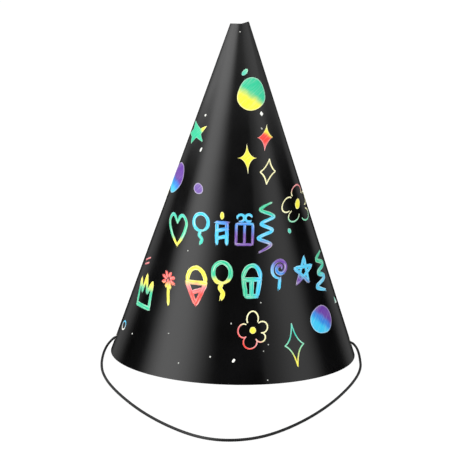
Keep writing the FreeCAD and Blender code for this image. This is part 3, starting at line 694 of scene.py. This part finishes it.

# Each motif: bearing in degrees and height in millimetres of its middle, how upright it stands for
# someone in front (0 leans with the cone's side), its slot name, the direction, size and inks of
# its colours, its strokes with their width, and its filled shapes with their middles
motifs = {
    "foil_bean": (12.9, 137.6, 1.0, "foil_teal", (60, 4, [(-1, "teal"), (1, "mint")]), 0, [],
                  [(ovalRim(3.9, 2.1, 52), (0, 0))]),
    "foil_big_disc": (24.2, 127.8, 1.0, "foil_teal", (56, 15, [(-0.5, "yellow"), (0.14, "green")]), 0, [],
                      [(ovalRim(13.9, 16.1, 0, 0.1), (0, 0))]),
    "foil_red_sparkle": (35.3, 107.9, 1.25, "foil_red",
                         (62, 10, [(-0.9, "pink"), (-0.3, "red"), (0.05, "red"), (0.5, "yellow"),
                                   (1, "cream")]),
                         0, [], [(sparkleRim(9.1, 12.4, 0.66, 1.08), (0, 0))]),
    "foil_yellow_sparkle": (10.6, 98.7, 0.0, "foil_yellow",
                            (90, 14, [(-1, "cream"), (-0.5, "yellow"), (0.5, "yellow"), (1, "cream")]), 0, [],
                            [(sparkleRim(9.0, 13.8, 0.56, 1.12), (0, 0))]),
    "foil_diamond_line": (31.0, 92.4, 1.5, "foil_pale", (90, 12, [(-1, "cream"), (1, "cream")]),
                          fine, sparkleStrokes(8.2, 12.0, 0.3), []),
    "foil_star": (-58.3, 108.9, 0.0, "foil_teal",
                  (45, 12, [(-1.3, "lime"), (-0.8, "green"), (0.35, "green"), (0.8, "yellow"),
                            (1.2, "cream")]),
                  0, [], [(cornerRim(starCorners), (0, 0))]),
    "foil_left_disc": (-72.0, 86.9, 0.0, "foil_purple",
                       (74, 14, [(-0.75, "cyan"), (-0.35, "blue"), (0.05, "purple")]), 0, [],
                       [(ovalRim(14.6, 15.2), (0, 0))]),
    "foil_purple_dot": (-34.6, 84.0, 1.0, "foil_purple", (90, 6, [(-1, "violet"), (1, "violet")]), 0, [],
                        [(ovalRim(5.1, 5.3, 60, 0.1), (0, 0))]),
    "foil_side_flower": (59.5, 76.6, 1.0, "foil_pale",
                         (90, 18, [(-0.9, "mint"), (-0.2, "cream"), (0.5, "cream"), (0.9, "pink")]), fine,
                         petalStrokes(sidePetals), [(ovalRim(4.4, 4.8), (0, 0))]),
    "foil_teal_dot": (42.0, 65.3, 0.0, "foil_teal", (90, 3, [(-1, "teal"), (1, "teal")]), 0, [],
                      [(ovalRim(2.1, 2.4), (0, 0))]),
    "foil_edge_strokes": (-72.0, 47.5, 0.0, "foil_red", (90, 4, [(-1, "pink"), (1, "pink")]), 0.8,
                          [[(-3, -0.6), (3, 1.6)], [(-2, -2.6), (3, -1.0)]], []),
    "foil_edge_ring": (-74.0, 15.3, 0.0, "foil_pale", (90, 4, [(-1, "white"), (1, "cyan")]), 0.7,
                       [loopPoints(6.0, 4.1)], []),
    "foil_edge_triangle": (77.0, 28.9, 0.0, "foil_pale", (90, 4, [(-1, "white"), (1, "teal")]), 0, [],
                           [(cornerRim([(2.0, -1.2), (-0.2, 2.2), (-2.2, -1.0)]), (0, 0))]),
    "foil_right_disc": (53.1, 24.2, 0.2, "foil_cyan",
                        (52, 14, [(-0.5, "cyan"), (-0.05, "blue"), (0.45, "purple")]), 0, [],
                        [(ovalRim(17.0, 13.0), (0, 0))]),
    "foil_front_flower": (9.7, 23.2, 1.0, "foil_pale",
                          (48, 17, [(-0.8, "red"), (-0.35, "pink"), (0.0, "cream"), (1, "cream")]), fine,
                          petalStrokes(frontPetals), [(ovalRim(2.9, 3.1), (0, 0))]),
    "foil_sparkle_line": (30.9, 15.7, 0.0, "foil_teal",
                          (90, 18, [(-0.8, "yellow"), (-0.1, "mint"), (0.5, "teal")]), fine,
                          sparkleStrokes(10.3, 19.9, 0.2), []),
    "doodle_heart": (-45.8, 64.7, 1.0, "foil_teal",
                     (90, 14, [(-0.85, "yellow"), (-0.35, "green"), (0.6, "green"), (1, "teal")]), thin,
                     [scaled(12.8, 14.7, halfHeart), scaled(-12.8, 14.7, halfHeart)], []),
    "doodle_balloon": (-25.4, 66.3, 1.0, "foil_cyan", (90, 14, [(-1, "teal"), (1, "cyan")]), thin,
                       balloonStrokes(7.4, 14.2), []),
    "doodle_candle": (-9.8, 67.5, 1.0, "foil_purple",
                      (50, 14, [(-0.4, "cyan"), (0.3, "blue"), (0.7, "purple")]), thin,
                      [[(-2.3, -7.7), (-2.3, 2.3)], [(2.3, -7.7), (2.3, 2.3)], [(-3.0, 2.3), (3.0, 2.3)],
                       [(-2.3, -1.5), (2.3, -0.4)], [(-2.3, -5.0), (2.3, -3.9)]],
                      [(ovalRim(1.8, 3.6), (0, 5.6))]),
    "doodle_gift": (6.5, 67.9, 1.0, "foil_cyan",
                    (80, 15, [(-0.6, "purple"), (0.1, "blue"), (0.6, "cyan")]), 1.2,
                    [[(-3.8, 1.6), (-3.8, -8)], [(3.8, 1.6), (3.8, -8)], [(-3.8, 1.6), (3.8, 1.6)],
                     [(-3.8, -8), (3.8, -8)], [(0, 1.6), (0, -8)],
                     loopPoints(3.2, 3.2, -110, 190, (-1.8, 4.3)),
                     loopPoints(3.2, 3.2, 20, 320, (1.8, 4.3))], []),
    "doodle_long_streamer": (22.7, 67.8, 1.0, "foil_teal",
                             (90, 22, [(-0.85, "purple"), (-0.4, "cyan"), (0.2, "cyan"), (0.7, "green")]),
                             thin,
                             zigzag(6.2, 23.0, 7), []),
    "doodle_crown": (-60.9, 33.8, 0.5, "foil_yellow",
                     (90, 16, [(-0.5, "green"), (0.1, "green"), (0.6, "yellow")]), wide,
                     [[(-5.9, -6.4), (-6.5, 5.6)], [(-6.5, 5.6), (-2.6, 0)], [(-2.6, 0), (0, 8)],
                      [(0, 8), (2.6, 0)], [(2.6, 0), (6.5, 5.6)], [(6.5, 5.6), (5.9, -6.4)],
                      [(-6.5, -6.4), (6.5, -6.4)]], []),
    "doodle_sparkler": (-40.7, 38.6, 1.0, "foil_red",
                        (90, 15, [(-0.8, "yellow"), (-0.1, "yellow"), (0.4, "red")]), thin,
                        sparklerStrokes(7.6, 15.0), []),
    "doodle_ice_cream": (-22.4, 41.4, 1.0, "foil_yellow",
                         (90, 17, [(-0.5, "red"), (-0.1, "pink"), (0.35, "yellow")]), wide,
                         [loopPoints(9.0, 12.2, -10, 190, (0, 2.1)), [(-4.7, 1.4), (0, -8.7)],
                          [(4.7, 1.4), (0, -8.7)], [(-5.0, 1.4), (5.0, 1.4)],
                          [(-2.2, -3.5), (3.1, -1.4)]], []),
    "doodle_tall_balloon": (-7.4, 44.3, 1.0, "foil_teal",
                            (90, 17, [(-0.7, "yellow"), (-0.1, "yellow"), (0.3, "green")]),
                            wide, balloonStrokes(8.0, 17.0), []),
    "doodle_cupcake": (10.2, 45.1, 1.0, "foil_cyan",
                       (0, 9, [(-0.8, "green"), (0.1, "teal"), (0.8, "cyan")]), wide,
                       [loopPoints(8.2, 12.9, 0, 180), [(-3.8, 0), (-2.6, -7.7)], [(3.8, 0), (2.6, -7.7)],
                        [(-4.1, 0), (4.1, 0)], [(-2.6, -7.7), (2.6, -7.7)], [(0, 0), (0, -7.7)]], []),
    "doodle_lollipop": (28.4, 47.0, 1.0, "foil_purple",
                        (50, 13, [(-0.5, "cyan"), (0.05, "blue"), (0.5, "purple")]), thin,
                        spiralStroke(9.4, 14.0), []),
    "doodle_star": (46.8, 46.8, 1.0, "foil_cyan",
                    (60, 13, [(-0.7, "purple"), (-0.1, "cyan"), (0.6, "cyan")]), thin,
                    [[(6.6 * math.cos(math.radians(90 + 144 * k)), 6.6 * math.sin(math.radians(90 + 144 * k)))
                      for k in (n, n + 1)] for n in range(5)], []),
    "doodle_streamer": (66.0, 44.6, 0.6, "foil_cyan",
                        (90, 17, [(-0.5, "cyan"), (0.1, "teal"), (0.6, "green")]), wide,
                        zigzag(8.6, 18.0, 6), []),
}

# Loose specks of foil: bearing, height, width, height and tilt of each, and its ink
specks = [
    (0.7, 156.2, 0.6, 0.6, 0, "grey"), (35.0, 118.6, 1.8, 2.3, 0, "white"),
    (31.4, 111.9, 0.7, 1.0, 20, "grey"), (-51.3, 117.1, 1.2, 1.2, 0, "pale"),
    (-42.6, 101.4, 1.1, 2.2, -15, "pale"), (-32.2, 56.1, 0.7, 0.6, 0, "grey"),
    (-59.7, 14.4, 0.8, 0.8, 0, "pale"), (-33.5, 19.2, 0.6, 0.6, 0, "grey"),
    (-25.2, 7.4, 0.6, 0.7, 0, "grey"), (-10.4, 11.5, 0.7, 0.7, 0, "pale"),
    (-1.2, 26.1, 0.6, 0.8, 0, "grey"), (0.4, 10.3, 1.1, 1.9, -35, "white"),
    (14.7, 35.0, 0.7, 0.6, 0, "grey"), (14.5, 14.2, 0.5, 0.5, 0, "grey"),
    (17.1, 16.8, 0.6, 0.5, 0, "grey"), (15.5, 1.8, 0.6, 0.6, 0, "grey")]


# Hot-stamped iridescent foil: bright rainbow colours, a satin shine, and whitish streaks
# along each stroke where the brush drawing left the foil thin
def foilMaterial():
    material, tree, shaderNode = startMaterial("hot-stamped iridescent foil", Roughness=0.42, Metallic=0.1,
                                               Specular_IOR_Level=0.25)
    tone = addNode(tree, "ShaderNodeAttribute", attribute_name="foilTone")
    where = addNode(tree, "ShaderNodeTexCoord")
    stretched = addNode(tree, "ShaderNodeMapping", {"Vector": where.outputs["UV"], "Scale": (0.13, 1.5, 1.0)})
    streak = addNode(tree, "ShaderNodeTexNoise", {"Vector": stretched.outputs["Vector"], "Scale": 1.0,
                                                  "Detail": 3.0, "Roughness": 0.6})
    lighter = addNode(tree, "ShaderNodeMapRange", {"Value": streak.outputs["Fac"], "From Min": 0.48,
                                                   "From Max": 0.66, "To Min": 0.0, "To Max": 0.62})
    worn = addNode(tree, "ShaderNodeMath", {0: lighter.outputs["Result"], 1: tone.outputs["Alpha"]},
                   operation="MULTIPLY")
    mix = addNode(tree, "ShaderNodeMix",
                  {0: worn.outputs["Value"], 6: tone.outputs["Color"], 7: linear(foil["pale"])},
                  data_type="RGBA")
    tree.links.new(mix.outputs[2], shaderNode.inputs["Base Color"])
    bump = addNode(tree, "ShaderNodeBump",
                   {"Height": streak.outputs["Fac"], "Strength": 0.25, "Distance": 0.03 * mm})
    tree.links.new(bump.outputs["Normal"], shaderNode.inputs["Normal"])
    return material


stampedFoil = foilMaterial()


def finishFoil(name, node, mesh, slot):
    bmesh.ops.recalc_face_normals(mesh, faces=mesh.faces)
    for face in mesh.faces:
        middle = face.calc_center_median()
        if face.normal.dot(Vector((middle.x, middle.y, 0))) < 0:
            face.normal_flip()
    mesh.normal_update()
    bmesh.ops.solidify(mesh, geom=mesh.faces[:], thickness=foil["thickness"])
    return finishPiece(name, mesh, stampedFoil, "hat", [node], slot)


def camel(node):
    first, *rest = node.split("_")
    return first + "".join(word.capitalize() for word in rest)


def startFoil():
    mesh = bmesh.new()
    mesh.verts.layers.float_color.new("foilTone")
    return mesh


for node, (bearing, height, stand, slot, (direction, size, stops), width, strokes, shapes) in motifs.items():
    mesh = startFoil()
    shade = inkGradient(direction, size, stops)
    slant = stand * taper * math.tan(math.radians(bearing))
    slant = min(max(slant, -foil["mostSlant"]), foil["mostSlant"])
    for turn in (0.0, foil["backTurn"]):
        press = presser(bearing + turn, height * mm, slant)
        for layer, points in enumerate(strokes):
            brushStroke(mesh, press, shade, points, width, layer % 4, 1.0 if width > 1 else 0.3)
        for layer, (rim, centre) in enumerate(shapes):
            tint = shade if not strokes else inkGradient(90, 4, [(-1, "yellow"), (1, "yellow")])
            filledShape(mesh, press, tint, rim, centre, layer)
    finishFoil(camel(node), node, mesh, slot)

speckMesh = startFoil()
for bearing, height, width, tall, tilt, ink in specks:
    rim = sparkleRim(width, tall, 1.15) if ink == "white" and not tilt else ovalRim(width, tall, tilt)
    for turn in (0.0, foil["backTurn"]):
        press = presser(bearing + turn, height * mm)
        filledShape(speckMesh, press, lambda x, y: inks[ink], rim, (0, 0), 0)
finishFoil("foilSpecks", "foil_specks", speckMesh, "foil_pale")
print("foil stamped")


studio = {
    "floorGlow": 0.97,          # a backlit white sweep, so almost no shadow shows
    "floorTint": 0.06,
    "floorReach": 3.0,          # metres from its middle to each side
    # soft boxes that the gloss card mirrors, each as the bearings from the front, in degrees,
    # between which it comes up and goes down, and its brightness
    "lowBoxes": [(-99, -68, -60, -14, 2.35), (29, 33, 76, 100, 0.3), (33, 64, 70, 98, 0.7),
                 (-165, -145, -136, -118, 0.24), (122, 138, 147, 163, 0.2)],
    "highBoxes": [(-165, -66, -52, -8, 3.2), (-50, -10, 90, 165, 0.66), (5, 45, 92, 112, 0.44)],
    # where the high boxes begin: at a height that is lower in front, with a soft edge
    "edgeSlope": 0.278, "edgeBend": 0.06, "edgeFrom": 0.376, "edgeTo": 0.424,
    "sheetWhite": 1.02,         # the white sheet behind, as the camera sees it
    # fill lights: bearing and elevation in degrees, and power in watts
    "fills": {"frontFill": (10, 38, 5), "leftFill": (-95, 35, 1),
              "rightFill": (95, 35, 3), "backFill": (180, 40, 9)},
    "fillDistance": 1.3,
    "fillSize": 1.0,
}


# The light of a row of soft boxes, for a node that gives the bearing in degrees
def softBoxes(tree, bearing, boxes):
    light = 0.0
    for start, full, fading, end, brightness in boxes:
        opening = addNode(tree, "ShaderNodeMapRange",
                          {"Value": bearing, "From Min": start, "From Max": full, "To Max": brightness},
                          interpolation_type="SMOOTHSTEP")
        closing = addNode(tree, "ShaderNodeMapRange",
                          {"Value": bearing, "From Min": fading, "From Max": end,
                           "To Min": 1.0, "To Max": 0.0},
                          interpolation_type="SMOOTHSTEP")
        light = addNode(tree, "ShaderNodeMath",
                        {0: opening.outputs["Result"], 1: closing.outputs["Result"], 2: light},
                        operation="MULTIPLY_ADD").outputs["Value"]
    return light


# The room that the card mirrors; the camera itself sees plain white
def lightRoom():
    world = bpy.data.worlds.new("studioRoom")
    scene.world = world
    world.use_nodes = True
    tree = world.node_tree
    tree.nodes.clear()
    where = addNode(tree, "ShaderNodeTexCoord")
    parts = addNode(tree, "ShaderNodeSeparateXYZ", {"Vector": where.outputs["Generated"]})
    back = addNode(tree, "ShaderNodeMath", {0: parts.outputs["Y"], 1: -1.0}, operation="MULTIPLY")
    bearing = addNode(tree, "ShaderNodeMath", {0: parts.outputs["X"], 1: back.outputs["Value"]},
                      operation="ARCTAN2")
    degrees = addNode(tree, "ShaderNodeMath", {0: bearing.outputs["Value"]}, operation="DEGREES")
    low = softBoxes(tree, degrees.outputs["Value"], studio["lowBoxes"])
    high = softBoxes(tree, degrees.outputs["Value"], studio["highBoxes"])
    slope = addNode(tree, "ShaderNodeMath",
                    {0: parts.outputs["Y"], 1: studio["edgeBend"], 2: studio["edgeSlope"]},
                    operation="MULTIPLY_ADD")
    rise = addNode(tree, "ShaderNodeMath",
                   {0: parts.outputs["Y"], 1: slope.outputs["Value"], 2: parts.outputs["Z"]},
                   operation="MULTIPLY_ADD")
    above = addNode(tree, "ShaderNodeMapRange",
                    {"Value": rise.outputs["Value"], "From Min": studio["edgeFrom"],
                     "From Max": studio["edgeTo"]},
                    interpolation_type="SMOOTHSTEP")
    boxes = addNode(tree, "ShaderNodeMix", {0: above.outputs["Result"], 2: low, 3: high})
    room = addNode(tree, "ShaderNodeBackground", {"Color": (1, 1, 1, 1), "Strength": boxes.outputs[0]})
    plain = addNode(tree, "ShaderNodeBackground", {"Color": (1, 1, 1, 1), "Strength": studio["sheetWhite"]})
    ray = addNode(tree, "ShaderNodeLightPath")
    choice = addNode(tree, "ShaderNodeMixShader",
                     {0: ray.outputs["Is Camera Ray"], 1: room.outputs["Background"],
                      2: plain.outputs["Background"]})
    addNode(tree, "ShaderNodeOutputWorld", {"Surface": choice.outputs["Shader"]})


# A soft light that brightens matt surfaces and leaves no mark in the gloss
def fillLight(name, bearing, elevation, power):
    data = bpy.data.lights.new(name, "AREA")
    data.shape = "DISK"
    data.size = studio["fillSize"]
    data.energy = power
    light = bpy.data.objects.new(name, data)
    a, e = math.radians(bearing), math.radians(elevation)
    towards = Vector((math.sin(a) * math.cos(e), -math.cos(a) * math.cos(e), math.sin(e)))
    aim = Vector((0, 0, hatHeight / 2))
    facing = towards.to_track_quat("Z", "Y").to_matrix().to_4x4()
    light.matrix_world = Matrix.Translation(aim + towards * studio["fillDistance"]) @ facing
    light.visible_glossy = False
    scene.collection.objects.link(light)


def layFloor():
    mesh = bmesh.new()
    bmesh.ops.create_grid(mesh, x_segments=4, y_segments=4, size=studio["floorReach"])
    data = bpy.data.meshes.new("studioFloor")
    mesh.to_mesh(data)
    mesh.free()
    floor = bpy.data.objects.new("studioFloor", data)
    scene.collection.objects.link(floor)
    material, tree, shaderNode = startMaterial("backlit opal acrylic sweep", Roughness=0.6)
    shaderNode.inputs["Base Color"].default_value = (studio["floorTint"],) * 3 + (1,)
    shaderNode.inputs["Emission Color"].default_value = (1, 1, 1, 1)
    shaderNode.inputs["Emission Strength"].default_value = studio["floorGlow"]
    shaderNode.inputs["Specular IOR Level"].default_value = 0.0
    data.materials.append(material)
    floor.visible_glossy = False


lightRoom()
for name, values in studio["fills"].items():
    fillLight(name, *values)
layFloor()
scene.view_settings.view_transform = "Standard"
print("studio lit")

bpy.context.view_layer.update()
